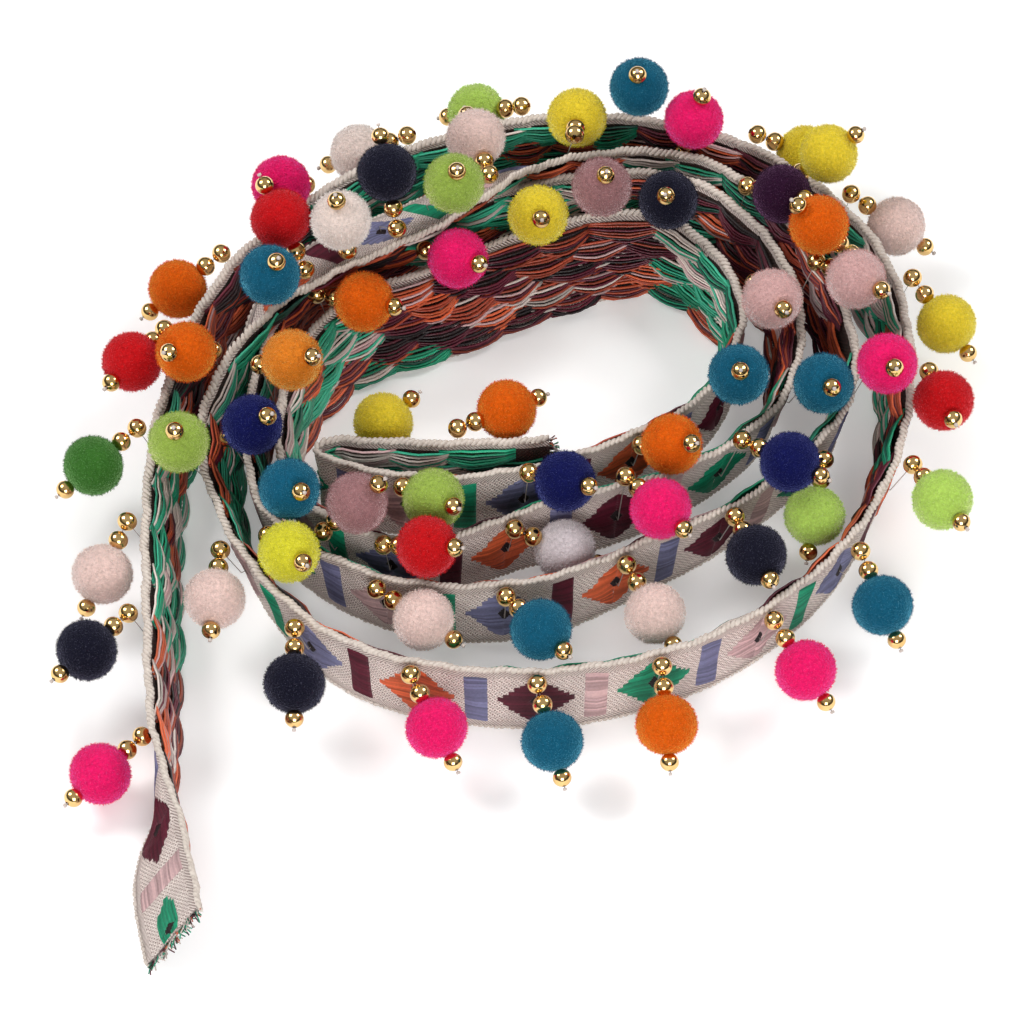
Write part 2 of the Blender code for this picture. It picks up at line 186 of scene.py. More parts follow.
def smooth(rows, steps=24):
    """A centripetal Catmull-Rom curve through the rows."""
    ends = [2 * rows[0] - rows[1], 2 * rows[-1] - rows[-2]]
    points = np.vstack([ends[0], rows, ends[1]])
    curve = []
    for i in range(1, len(points) - 2):
        p0, p1, p2, p3 = points[i - 1:i + 3]
        t1 = np.linalg.norm((p1 - p0)[:2]) ** 0.5
        t2 = t1 + np.linalg.norm((p2 - p1)[:2]) ** 0.5
        t3 = t2 + np.linalg.norm((p3 - p2)[:2]) ** 0.5
        for t in np.linspace(t1, t2, steps, endpoint=False):
            a1 = p0 + (p1 - p0) * t / t1
            a2 = p1 + (p2 - p1) * (t - t1) / (t2 - t1)
            a3 = p2 + (p3 - p2) * (t - t2) / (t3 - t2)
            b1 = a1 + (a2 - a1) * t / t2
            b2 = a2 + (a3 - a2) * (t - t1) / (t3 - t1)
            curve.append(b1 + (b2 - b1) * (t - t1) / (t2 - t1))
    curve.append(points[-2])
    return np.array(curve)


class Route:
    """The tape's middle line, with its lean and lift, read by the length along it."""

    def __init__(self):
        curve = smooth(route_rows())
        self.lean = np.radians(curve[:, 2])
        lift = np.maximum(curve[:, 3], 0.0)
        foot = FOOT_WIDTH / 2 * np.abs(np.sin(self.lean))
        height = lift + TAPE_WIDTH / 2 * np.cos(self.lean) + foot
        self.middle = np.column_stack([curve[:, :2], height])
        steps = np.linalg.norm(np.diff(self.middle, axis=0), axis=1)
        self.along = np.concatenate([[0.0], np.cumsum(steps)])
        self.length = self.along[-1]

    def point(self, s):
        return np.array([np.interp(s, self.along, column) for column in self.middle.T])

    def frame(self, s, reach=1.2):
        """The middle point, the travel, the outward direction, the wall's rise and its outer normal."""
        before = self.point(max(s - reach, 0.0))
        after = self.point(min(s + reach, self.length))
        travel = (after - before) * (1, 1, 0)
        travel /= np.linalg.norm(travel)
        outward = np.array([-travel[1], travel[0], 0.0])
        upward = np.array([0.0, 0.0, 1.0])
        lean = np.interp(s, self.along, self.lean)
        rise = outward * math.sin(lean) + upward * math.cos(lean)
        normal = outward * math.cos(lean) - upward * math.sin(lean)
        return self.point(s), travel, outward, rise, normal


def wall_tree(route, along=2.0):
    """A search tree over the sheet that lies in the middle of the tape's thickness."""
    corners = []
    for s in np.linspace(0, route.length, int(route.length / along)):
        middle, _, _, rise, _ = route.frame(s)
        half = rise * (TAPE_WIDTH - RIM_THICK) / 2
        corners += [middle - half, middle + half]
    faces = [(i, i + 1, i + 3, i + 2) for i in range(0, len(corners) - 2, 2)]
    return BVHTree.FromPolygons([Vector(corner) for corner in corners], faces)


class Drop:
    """Two beads, a pompom and an end bead on a thread that leaves the tape's outer face."""

    reaches = np.array([0.0, BEAD_SPACING, BEAD_SPACING + POMPOM_SPACING, BEAD_SPACING + 2 * POMPOM_SPACING])
    radii = np.array([BEAD_RADIUS, BEAD_RADIUS, POMPOM_RADIUS, BEAD_RADIUS])

    def __init__(self, route, s, colour, swing, rise, climb):
        middle, self.travel, self.outward, self.up, normal = route.frame(s)
        self.colour = colour
        self.root = middle + normal * (TAPE_THICK / 2 + STRIP_GAP + STRIP_THICK / 2)
        self.seat = self.root + normal * (STRIP_THICK / 2 + BEAD_SEAT)
        tried = [(a, b, c) for a in SWINGS for b in RISES for c in CLIMBS]
        tried.append((swing, rise, climb))
        self.heads = np.array([self.heading(a, b) for a, b, _ in tried])
        self.starts = np.array([self.seat + self.up * c for _, _, c in tried])
        self.places = self.starts[:, None] + self.reaches[:, None] * self.heads[:, None]
        self.pick(-1)

    def heading(self, swing, rise):
        swing = math.radians(swing)
        rise = math.radians(rise)
        level = self.outward * math.cos(swing) + self.travel * math.sin(swing)
        return level * math.cos(rise) + np.array([0, 0, math.sin(rise)])

    def pick(self, pose):
        self.direction = self.heads[pose]
        self.balls = self.places[pose]


def depth_cost(depth):
    """A high price for a pose that touches something, rising with how deep it goes."""
    return np.where(depth > 0, TOUCH_PRICE + DEPTH_PRICE * depth, 0.0)


def wall_cost(drop, tree):
    """The price of every pose of a drop against the tape and the floor."""
    cost = np.zeros(len(drop.places))
    for ball, radius in enumerate(drop.radii):
        keep = radius + RIM_THICK / 2 + CLEARANCE
        for pose, place in enumerate(drop.places[:, ball]):
            found = tree.find_nearest(Vector(place), keep)
            if found[0] is not None:
                cost[pose] += depth_cost(keep - found[3])
    for share in THREAD_SHARES:
        for pose, start in enumerate(drop.starts):
            found = tree.find_nearest(Vector(drop.root + (start - drop.root) * share), THREAD_REACH)
            if found[0] is not None:
                cost[pose] += depth_cost(THREAD_REACH - found[3])
    floor = (drop.radii - drop.places[:, :, 2]).max(axis=1)
    return cost + depth_cost(floor)


def settle(route, drops):
    """Gives each drop the pose nearest to its row in which it clears the tape, the floor and the rest."""
    tree = wall_tree(route)
    choices = []
    for drop in drops:
        moved = np.linalg.norm(drop.places[:, 2] - drop.places[-1, 2], axis=1)
        price = moved + wall_cost(drop, tree)
        best = np.argsort(price, kind="stable")[:POSES_KEPT]
        choices.append((best, price[best]))
        drop.pick(best[0])
    for _ in range(SETTLE_SWEEPS):
        for drop, (best, price) in zip(drops, choices):
            others = [other for other in drops if 0 < np.linalg.norm(other.seat - drop.seat) < NEIGHBOURS]
            points = np.vstack([other.balls for other in others])
            radii = np.concatenate([other.radii for other in others])
            places = drop.places[best]
            room = np.linalg.norm(places[:, :, None] - points, axis=3) - radii
            depth = drop.radii[:, None] + CLEARANCE - room
            touched = depth_cost(depth.max(axis=2)).sum(axis=1)
            drop.pick(best[int((price + touched).argmin())])


def lay_drops(route):
    """The settled drops, a list for each strip."""
    rows = [(number, *row) for number, row in enumerate(DROPS) if row[0]]
    strips = {}
    for number, colour, swing, rise, climb in sorted(rows + list(BETWEEN)):
        drop = Drop(route, DROP_FIRST + DROP_PITCH * number, colour, swing, rise, climb)
        strips.setdefault(number // STRIP_DIAMONDS, []).append(drop)
    settle(route, [drop for drops in strips.values() for drop in drops])
    return list(strips.values())


# What the solids leave to the looks, with lengths in millimetres. First the woven ground: its shape, and the
# pitches of its dots, ribs and twill borders. The inner face's map is shifted to tell it from the outer one.
INSIDE_SHIFT = 100.0
WEB_HALF = 0.42
WEB_STEP = 1.0
WEB_EDGE = 7.5
WEB_END = 0.15
DOT_PITCH = 0.74
RIB_PITCH = 0.40
RIB_SLANT = 0.3
TWILL_PITCH = 0.62
TWILL_SLANT = 1.1
BORDER_START = 5.9
# How far across the inner face the painted shade under the floats reaches
FLOATS_EDGE = 6.3

# The rope-like edges
RIM_PITCH = 0.86
RIM_PLACE = 7.55
STITCH_RADIUS = 0.46
STITCH_STRETCH = 2.1

# The satin motifs. The eye of a diamond has its half length and half width.
DIAMOND_LENGTH = 11.6
DIAMOND_WIDTH = 11.8
FAN = 0.82
EYE = (0.9, 1.5)
BAR_LENGTH = 3.6
BAR_WIDTH = 11.8
BAR_TILT = 0.35
SATIN_PITCH = 0.46
SATIN_RAISE = 0.30
SATIN_MARGIN = 0.35
SATIN_SHORTEST = 0.4

# The loose floats
FLOAT_PITCH = 9.35
FLOAT_RADIUS = 0.25
FLOAT_SPREAD = 1.35
FLOAT_EDGES = (-7.6, 6.9)

# The beads, their threads and the knots that end them
BEAD_HOLE = 0.4
END_BEAD = 0.94
THREAD_HALF = 0.09
KNOT_HALF = 0.34

# The felt balls and their pile, whose fibres differ in size and lean by angles in radians
FELT_RADIUS = 4.75
FELT_SQUASH = 0.97
FELT_SHEEN = 1.0
FELT_SHEEN_ROUGHNESS = 0.35
PILE_LENGTH = 0.5
PILE_WIDTH = 0.12
PILE_PER_MM2 = 11.5
PILE_SIZES = (0.55, 1.15)
PILE_TILT = (0.75, 0.75, 3.1)

# The yarns' colours
YARN = {
    "maroon": (0.105, 0.009, 0.024),
    "green": (0.010, 0.290, 0.150),
    "blue": (0.185, 0.185, 0.320),
    "orange": (0.720, 0.130, 0.045),
    "pale": (0.620, 0.410, 0.410),
    "cream": (0.660, 0.570, 0.520),
    "black": (0.016, 0.008, 0.010),
    "rust": (0.400, 0.065, 0.030),
    "bottle": (0.008, 0.080, 0.055),
    "mint": (0.035, 0.380, 0.230),
}

# The motifs' colours in the order in which they come round, and the bar that follows each diamond.
# The loose tail is one motif behind. The motif at the raw cut end is cut narrower.
DIAMONDS = ("orange", "blue", "pale", "green", "maroon")
BARS = ("maroon", "green", "blue", "pale", "blue")
TAIL_DROPS = 5
CUT_WIDTH = 5.5

# The loose floats behind them, by the main yarn of each bundle
BUNDLES = {
    "jade": ("mint", "green", "mint", "cream"),
    "sea": ("green", "mint", "bottle", "green"),
    "white": ("cream", "pale", "cream", "mint"),
    "night": ("black", "black", "bottle", "maroon"),
    "wine": ("maroon", "rust", "maroon", "black"),
    "brick": ("rust", "orange", "rust", "maroon"),
    "coral": ("orange", "rust", "orange", "pale"),
    "rose": ("maroon", "pale", "rust", "cream"),
}

# Which bundles lie behind each stretch of a round of five motifs, and where that stretch ends
FLOAT_ROUND = 5 * DROP_PITCH
FLOAT_START = 64.0
STRETCHES = (
    (30.0, ("jade", "jade", "sea", "white", "brick")),
    (46.0, ("night", "sea", "coral", "wine")),
    (80.0, ("brick", "wine", "coral", "brick", "wine", "rose")),
    (FLOAT_ROUND, ("jade", "sea", "white", "jade")),
)
FLOAT_ROWS = (-5.4, -2.7, 0.0, 2.7, 5.4)
FLOAT_THREADS = 8

# The yarns of the raw cut ends
FRAY = ("cream", "cream", "cream", "maroon", "rust", "orange", "mint", "black", "green")
FRAY_THREADS = 110
FRAY_START = 0.3
FRAY_REACH = (0.5, 1.9)
FRAY_RADIUS = 0.13

# The felts, as they look in the photo
SHADES = {
    "acid": (0.64, 0.60, 0.03),
    "blue": (0.003, 0.005, 0.070),
    "green": (0.038, 0.145, 0.020),
    "leaf": (0.300, 0.430, 0.070),
    "light pink": (0.760, 0.550, 0.500),
    "lime": (0.420, 0.620, 0.110),
    "magenta": (0.800, 0.008, 0.130),
    "mauve": (0.310, 0.150, 0.155),
    "navy": (0.006, 0.006, 0.016),
    "orange": (0.660, 0.098, 0.001),
    "pale pink": (0.800, 0.660, 0.600),
    "pink": (0.610, 0.365, 0.350),
    "purple": (0.022, 0.003, 0.020),
    "red": (0.520, 0.004, 0.007),
    "tan": (0.660, 0.190, 0.014),
    "teal": (0.004, 0.092, 0.165),
    "white": (0.590, 0.520, 0.540),
    "yellow": (0.740, 0.560, 0.030),
}

# Felts and the near colour that each is paired with
NEAREST = {"acid": "yellow", "leaf": "lime", "red": "magenta", "tan": "orange"}

# The studio: how light the room is from the table's level up to overhead, its soft boxes by place, size and
# power, what they point at, and the table's paper, whose glow is painted light that lifts the shade on it
SKY = ((0.0, 0.06), (1.0, 1.0), (0.28, 0.10), (0.55, 0.75))
SKY_STRENGTH = 0.48
SOFTBOXES = (
    ("left_softbox", (-0.55, 0.15, 0.65), 0.35, 4.2),
    ("right_softbox", (0.55, 0.25, 0.60), 0.30, 3.1),
    ("front_softbox", (0.05, -0.75, 0.42), 0.40, 4.9),
)
SOFTBOX_AIM = Vector((0.0, 0.0, 0.01))
PAPER_HALF = 3.0
PAPER_LEVEL = -0.0001
PAPER_GLOW = 0.22

# The camera: how high it looks down, how far off it is, its lens and what it looks at
CAMERA_RISE = math.radians(50.0)
CAMERA_REACH = 1.300
CAMERA_LENS = 285.6
CAMERA_AIM = (-0.001375, 0.00479, 0.0)


class Value:
    """A socket that can be used in sums."""

    def __init__(self, finish, socket):
        self.finish = finish
        self.socket = socket

    def __add__(self, other):
        return self.finish.maths("ADD", self, other)

    def __sub__(self, other):
        return self.finish.maths("SUBTRACT", self, other)

    def __mul__(self, other):
        return self.finish.maths("MULTIPLY", self, other)

    def __rsub__(self, other):
        return self.finish.maths("SUBTRACT", other, self)

    def __abs__(self):
        return self.finish.maths("ABSOLUTE", self)


class Nodes:
    """A tree whose nodes are added one by one."""

    def __init__(self, tree):
        self.tree = tree

    def join(self, socket, value):
        if isinstance(value, Value):
            value = value.socket
        if isinstance(value, bpy.types.NodeSocket):
            self.tree.links.new(value, socket)
        else:
            socket.default_value = value

    def node(self, kind, settings=None, sockets=None):
        made = self.tree.nodes.new(kind)
        for key, value in (settings or {}).items():
            setattr(made, key, value)
        for key, value in (sockets or {}).items():
            self.join(made.inputs[key], value)
        return made


class Finish(Nodes):
    """A material, with what is the same all over it set on the shader's own sockets."""

    def __init__(self, name, sockets):
        self.material = bpy.data.materials.new(name)
        self.material.use_nodes = True
        super().__init__(self.material.node_tree)
        self.shader = self.tree.nodes["Principled BSDF"]
        for key, value in sockets.items():
            self.join(self.shader.inputs[key], value)

    def maths(self, operation, *values):
        made = self.node("ShaderNodeMath", {"operation": operation}, dict(enumerate(values)))
        return Value(self, made.outputs[0])

    def wave(self, length, pitch):
        return self.maths("SINE", length * (math.tau / pitch))

    def clamped(self, value):
        return self.maths("MINIMUM", self.maths("MAXIMUM", value, 0.0), 1.0)

    def mix(self, share, first, second):
        made = self.node("ShaderNodeMix", {"data_type": "RGBA"}, {0: share, 6: first, 7: second})
        return made.outputs[2]

    def noise(self, scale, detail=2.0):
        where = self.node("ShaderNodeTexCoord").outputs["Object"]
        sockets = {"Scale": scale, "Detail": detail, "Vector": where}
        return Value(self, self.node("ShaderNodeTexNoise", None, sockets).outputs["Fac"])

    def attribute(self, name, output):
        return self.node("ShaderNodeAttribute", {"attribute_name": name}).outputs[output]

    def along_across(self):
        """The cloth's own lengths in millimetres, along the tape and across it."""
        flat = self.node("ShaderNodeUVMap").outputs["UV"]
        parts = self.node("ShaderNodeSeparateXYZ", None, {0: flat})
        return Value(self, parts.outputs["X"]) * 1000.0, Value(self, parts.outputs["Y"]) * 1000.0

    def relief(self, height, depth):
        """Raises the surface by a depth in millimetres."""
        bump = self.node("ShaderNodeBump", None, {"Strength": 1.0, "Distance": depth * MM, "Height": height})
        self.join(self.shader.inputs["Normal"], bump.outputs["Normal"])

    def colour(self, value):
        self.join(self.shader.inputs["Base Color"], value)


def rgba(colour):
    return (*colour, 1.0)


def weave_finish():
    """Cream ribs with rows of tiny open dots, and a slanting twill along both borders.

    Painted shade darkens the grooves of the ribs and twill, and the inner face under the floats.
    """
    finish = Finish("cream_weave", {"Roughness": 0.88})
    along, across = finish.along_across()
    inside = finish.maths("GREATER_THAN", across, INSIDE_SHIFT / 2)
    across = across - inside * INSIDE_SHIFT
    dots = finish.wave(along, DOT_PITCH) * finish.wave(across, DOT_PITCH)
    ribs = finish.wave(along + across * RIB_SLANT, RIB_PITCH)
    twill = finish.wave(along * TWILL_SLANT + abs(across), TWILL_PITCH)
    border = finish.maths("GREATER_THAN", abs(across), BORDER_START)
    ground = dots * 0.44 + ribs * 0.16 + 0.5
    height = ground * (1.0 - border) + (twill * 0.4 + 0.5) * border
    finish.relief(height, 0.30)
    yarn = finish.mix(finish.noise(420.0, 3.0), rgba((0.64, 0.53, 0.49)), rgba((0.90, 0.80, 0.74)))
    # Low parts of the relief turn dark: the open dots, and painted shade in the grooves of the ribs and twill
    clear = finish.clamped(finish.maths("MULTIPLY_ADD", height, 1.9, -0.05))
    outside = finish.mix(clear, rgba((0.24, 0.155, 0.135)), yarn)
    # Painted shade: the inner face is painted dark where the floats lie over it
    painted_shade_behind_floats = finish.mix(finish.noise(900.0), rgba((0.012, 0.030, 0.022)), rgba((0.085, 0.020, 0.018)))
    painted_shade_under_floats_mask = inside * (1.0 - finish.maths("GREATER_THAN", abs(across), FLOATS_EDGE))
    finish.colour(finish.mix(painted_shade_under_floats_mask, outside, painted_shade_behind_floats))
    return finish.material


def yarn_finish(name, roughness, gloss, depth):
    """Dyed yarn that takes its colour from the piece's own dye."""
    finish = Finish(name, {"Roughness": roughness, "Specular IOR Level": gloss})
    dye = finish.attribute("dye", "Color")
    fibre = finish.noise(2600.0, 3.0)
    dark = finish.node("ShaderNodeVectorMath", {"operation": "SCALE"}, {0: dye, "Scale": 0.62})
    finish.colour(finish.mix(fibre, dark.outputs[0], dye))
    finish.relief(fibre, depth)
    return finish.material


def rope_finish():
    finish = Finish("rope_edge", {"Roughness": 0.88})
    fibre = finish.noise(1500.0, 3.0)
    finish.colour(finish.mix(fibre, rgba((0.36, 0.29, 0.25)), rgba((0.76, 0.69, 0.62))))
    finish.relief(fibre, 0.18)
    return finish.material


def felt_finish(name, colour):
    """Dense dyed felt in random darker and paler clumps, with a painted glow at the tips of its fibres and a
    sheen at its outline.
    """
    finish = Finish(name, {
        "Roughness": 0.95,
        "Specular IOR Level": 0.1,
        "Sheen Weight": FELT_SHEEN,
        "Sheen Roughness": FELT_SHEEN_ROUGHNESS,
        "Sheen Tint": rgba([min(1.0, 0.06 + 1.8 * math.sqrt(c)) for c in colour]),
    })
    # Random darker and paler clumps
    clump = finish.clamped(finish.noise(2000.0, 3.0) * 1.6 - 0.3)
    dark_clump = rgba([c * 0.66 for c in colour])
    pale_clump = rgba([min(1.0, c * 1.10 + 0.002) for c in colour])
    # Painted glow: the tips of the fibres are painted brighter than the felt
    painted_glow_at_tips = rgba([min(1.0, c * 1.55 + 0.025) for c in colour])
    finish.colour(finish.mix(finish.attribute("tip", "Fac"), finish.mix(clump, dark_clump, pale_clump), painted_glow_at_tips))
    finish.relief(finish.noise(3200.0), 0.30)
    return finish.material


def gold_finish():
    finish = Finish("gold_bead", {"Metallic": 1.0})
    wear = finish.noise(420.0, 3.0)
    finish.colour(finish.mix(wear, rgba((0.66, 0.40, 0.13)), rgba((0.90, 0.64, 0.29))))
    finish.join(finish.shader.inputs["Roughness"], wear * 0.14 + 0.07)
    return finish.material


def rest_on_table(made):
    """Flattens what would dip under the table's level."""
    places = np.zeros(len(made.data.vertices) * 3, dtype=np.float32)
    made.data.vertices.foreach_get("co", places)
    places[2::3] = np.maximum(places[2::3], 0.0)
    made.data.vertices.foreach_set("co", places)
    made.data.update()


def add_object(name, data):
    made = bpy.data.objects.new(name, data)
    bpy.context.scene.collection.objects.link(made)
    return made


def plain_mesh(name, corners, faces, finish):
    mesh = bpy.data.meshes.new(name)
    mesh.from_pydata(corners, [], faces)
    mesh.materials.append(finish)
    mesh.polygons.foreach_set("use_smooth", [True] * len(mesh.polygons))
    return add_object(name, mesh)


def changed_mesh(made):
    """The object's mesh once its modifiers have worked on it."""
    graph = bpy.context.evaluated_depsgraph_get()
    return bpy.data.meshes.new_from_object(made.evaluated_get(graph))


def in_frame(points):
    """Points of the route and the drops, in millimetres, moved to the frame and given in metres."""
    return (points + COIL_CENTRE) * MM


class Cloth:
    """Places points on the tape by their length along it, their place across it and their height."""

    def __init__(self, route, step=0.5):
        self.length = route.length
        self.along = np.linspace(0.0, route.length, int(route.length / step))
        frames = [route.frame(s) for s in self.along]
        self.middle = np.array([frame[0] for frame in frames])
        self.rise = np.array([frame[3] for frame in frames])
        self.normal = np.array([frame[4] for frame in frames])

    def read(self, table, s):
        return np.stack([np.interp(s, self.along, column) for column in table.T], axis=-1)

    def at(self, s, across, out):
        """The points there, in metres, on a cloth that waves a little more towards its upper edge."""
        s, across, out = np.broadcast_arrays(*[np.asarray(v, dtype=float) for v in (s, across, out)])
        free = np.clip((across + TAPE_WIDTH / 2) / 5, 0, 1)
        wave = free * (0.16 * np.sin(0.52 * s + 0.25 * across) + 0.10 * np.sin(1.37 * s - 0.5 * across + 2))
        points = self.read(self.middle, s) + self.read(self.rise, s) * across[..., None]
        return in_frame(points + self.read(self.normal, s) * (out + wave)[..., None])


def grid_faces(rows, columns, closed=False):
    """Quads over a grid of corners, row by row."""
    faces = []
    last = columns if closed else columns - 1
    for start in range(0, (rows - 1) * columns, columns):
        for column in range(last):
            here = start + column
            beside = start + (column + 1) % columns
            faces.append((here, beside, beside + columns, here + columns))
    return faces


def capped_faces(rows, columns):
    """The faces of a tube, with one face over each end."""
    last = (rows - 1) * columns
    ends = [tuple(range(columns))[::-1], tuple(range(last, last + columns))]
    return grid_faces(rows, columns, closed=True) + ends


def make_web(cloth, finish):
    """The woven ground, with its own flat sizes as its UV map."""
    out_side = np.linspace(-WEB_EDGE, WEB_EDGE, 13)
    in_side = out_side[::-1][::2]
    across = np.concatenate([out_side, in_side])
    out = np.concatenate([np.full(len(out_side), WEB_HALF), np.full(len(in_side), -WEB_HALF)])
    s = np.linspace(WEB_END, cloth.length - WEB_END, int(cloth.length / WEB_STEP))
    corners = cloth.at(s[:, None], across[None], out[None]).reshape(-1, 3)
    made = plain_mesh("woven_web", corners.tolist(), capped_faces(len(s), len(across)), finish)
    mapped = across + np.where(out < 0, INSIDE_SHIFT, 0.0)
    flat = np.stack(np.broadcast_arrays(s[:, None], mapped[None]), axis=-1).reshape(-1, 2) * MM
    layer = made.data.uv_layers.new(name="cloth")
    index = np.zeros(len(made.data.loops), dtype=np.int32)
    made.data.loops.foreach_get("vertex_index", index)
    layer.data.foreach_set("uv", flat[index].astype(np.float32).ravel())
    return made


class Threads:
    """Collects many threads as one mesh."""

    def __init__(self):
        self.count = 0
        self.corners = []
        self.faces = []
        self.dyes = []

    def add(self, corners, faces, dye):
        self.corners.append(corners)
        self.faces += [tuple(self.count + i for i in face) for face in faces]
        self.dyes.append(np.tile(dye, (len(corners), 1)))
        self.count += len(corners)

    def add_tube(self, path, radius, dye, sides=3):
        """A thin tube along a path of points in metres, its radius in millimetres."""
        path = np.asarray(path)
        run = np.gradient(path, axis=0)
        run /= np.linalg.norm(run, axis=1, keepdims=True)
        side = np.cross(run, (0.31, 0.22, 0.92))
        side /= np.linalg.norm(side, axis=1, keepdims=True)
        cross = np.cross(run, side)
        turn = np.arange(sides) * math.tau / sides
        ring = side[:, None] * np.cos(turn)[None, :, None] + cross[:, None] * np.sin(turn)[None, :, None]
        corners = (path[:, None] + ring * (radius * MM)).reshape(-1, 3)
        self.add(corners, capped_faces(len(path), sides), dye)

    def made(self, name, finish):
        """The mesh, with each thread's colour in its dye."""
        made = plain_mesh(name, np.vstack(self.corners).tolist(), self.faces, finish)
        layer = made.data.color_attributes.new("dye", "FLOAT_COLOR", "POINT")
        colours = np.column_stack([np.vstack(self.dyes), np.ones(self.count)])
        layer.data.foreach_set("color", colours.astype(np.float32).ravel())
        return made


def dyed(name, shade=1.0):
    return np.array(YARN[name]) * shade


def satin_rib(cloth, threads, start, end, across, tilt, dye):
    """One satin thread: a low rib between two places along the tape, its ends tucked in."""
    stops = np.array([0.0, 0.12, 0.5, 0.88, 1.0])
    raised = np.array([0.0, 0.8, 1.0, 0.8, 0.0]) * SATIN_RAISE
    s = start + (end - start) * stops
    middle = across + tilt * stops
    sides = np.array([-0.5, 0.0, 0.5]) * SATIN_PITCH
    out = WEB_HALF + 0.02 + raised[:, None] * np.array([0.05, 1.0, 0.05])[None]
    corners = cloth.at(s[:, None], middle[:, None] + sides[None], out).reshape(-1, 3)
    faces = grid_faces(len(stops), len(sides))
    threads.add(corners, faces if end > start else [face[::-1] for face in faces], dye)


def make_motifs(cloth, finish, rng):
    """Diamonds round each drop and bars between them, all of raised satin threads."""
    threads = Threads()

    def varied(name):
        return dyed(name, rng.uniform(0.62, 1.3))

    def rib(begin, end, across, tilt, dye):
        begin, end = np.clip((begin, end), SATIN_MARGIN, cloth.length - SATIN_MARGIN)
        if abs(end - begin) > SATIN_SHORTEST:
            satin_rib(cloth, threads, begin, end, across, tilt, dye)

    def rows(half, limit=math.inf):
        across = np.arange(-half, half + 0.01, SATIN_PITCH)
        return across[abs(across) < limit]

    last = int((cloth.length - DROP_FIRST) / DROP_PITCH) + 2
    for number in range(-1, last + 1):
        limit = CUT_WIDTH / 2 if number < 0 else DIAMOND_WIDTH
        turn = (number - 1 if number <= TAIL_DROPS else number) % len(DIAMONDS)
        centre = DROP_FIRST + DROP_PITCH * (number - 1)
        for across in rows(DIAMOND_WIDTH / 2, limit):
            step = round(across * FAN / (2 * SATIN_PITCH)) * 2 * SATIN_PITCH
            reach = DIAMOND_LENGTH / 2 * (1 - abs(step) / (DIAMOND_WIDTH / 2 + 0.3)) + 0.2
            eye = EYE[0] * max(0.0, 1.0 - abs(across) / EYE[1])
            for side in (-1, 1):
                tilt = across * (FAN - 1)
                rib(centre + side * eye, centre + side * reach, across, tilt, varied(DIAMONDS[turn]))
        for across in rows(EYE[1]):
            reach = EYE[0] * (1 - abs(across) / EYE[1]) + 0.15
            rib(centre - reach, centre + reach, across, 0.0, dyed("black"))
        middle = centre + DROP_PITCH / 2
        for across in rows(BAR_WIDTH / 2):
            rib(middle - BAR_LENGTH / 2, middle + BAR_LENGTH / 2, across, BAR_TILT, varied(BARS[turn]))
    return threads.made("satin_motifs", finish)


def make_fray(cloth, finish, rng):
    """Cut yarns that stick out of both raw ends of the tape."""
    threads = Threads()
    share = np.linspace(-0.4, 1, 5)
    bend = np.clip(share, 0, 1) ** 1.5
    for end, out in ((FRAY_START, -1), (cloth.length - FRAY_START, 1)):
        for _ in range(FRAY_THREADS):
            across = rng.uniform(-7.4, 7.4)
            name = FRAY[rng.integers(len(FRAY))]
            reach = rng.uniform(*FRAY_REACH)
            sway = rng.uniform(-0.9, 0.9, 2)
            path = cloth.at(end, across + sway[0] * bend, sway[1] * bend)
            ahead = path[0] - cloth.at(end - out * 0.5, across, 0.0)
            ahead /= np.linalg.norm(ahead)
            path = path + ahead[None] * (share * reach * MM)[:, None]
            threads.add_tube(path, FRAY_RADIUS, dyed(name, rng.uniform(0.7, 1.2)))
    return threads.made("cut_yarns", finish)


def make_floats(cloth, finish, rng, start, end, name):
    """The loose floats on the inner face: rows of sagging bundles that lie over each other."""
    threads = Threads()
    share = np.linspace(0, 1, 8)
    arch = np.sin(share * math.pi)
    spread = 0.75 + 0.45 * arch
    for row, across in enumerate(FLOAT_ROWS):
        for number in range(int((end - start) / FLOAT_PITCH)):
            begin = start + number * FLOAT_PITCH + (row % 2) * FLOAT_PITCH / 2 + rng.uniform(-0.6, 0.6)
            reach = FLOAT_PITCH * rng.uniform(1.1, 1.35)
            if begin < 2 or begin + reach > min(end + FLOAT_PITCH, cloth.length - 1):
                continue
            place = (begin - FLOAT_START) % FLOAT_ROUND
            names = next(names for stop, names in STRETCHES if place < stop)
            bundle = BUNDLES[names[rng.integers(len(names))]]
            sag = rng.uniform(0.7, 1.5)
            for beside in np.linspace(-1, 1, FLOAT_THREADS):
                yarn = bundle[rng.integers(len(bundle))]
                dye = dyed(yarn, rng.uniform(0.8, 1.6))
                drift = rng.uniform(-0.12, 0.12)
                v = across + beside * FLOAT_SPREAD * spread - sag * arch * (1.1 - 0.4 * beside) + drift
                v = np.clip(v, *FLOAT_EDGES)
                lean = rng.uniform(0.0, 0.35)
                height = arch * (0.75 + 0.3 * math.cos(beside * 2.2) + lean) + 0.25 * share
                path = cloth.at(begin + reach * share, v, -WEB_HALF - 0.12 - height)
                threads.add_tube(path, FLOAT_RADIUS, dye)
    return threads.made(name, finish)


def points_object(name, places, alongs, rises, sizes):
    """A cloud of places, each with the way it points, the way it faces and its size."""
    mesh = bpy.data.meshes.new(name)
    mesh.from_pydata(np.asarray(places).tolist(), [], [])
    for key, values in (("along", alongs), ("rise", rises)):
        layer = mesh.attributes.new(key, "FLOAT_VECTOR", "POINT")
        layer.data.foreach_set("vector", np.asarray(values, dtype=np.float32).ravel())
    layer = mesh.attributes.new("size", "FLOAT", "POINT")
    layer.data.foreach_set("value", np.asarray(sizes, dtype=np.float32))
    return add_object(name, mesh)


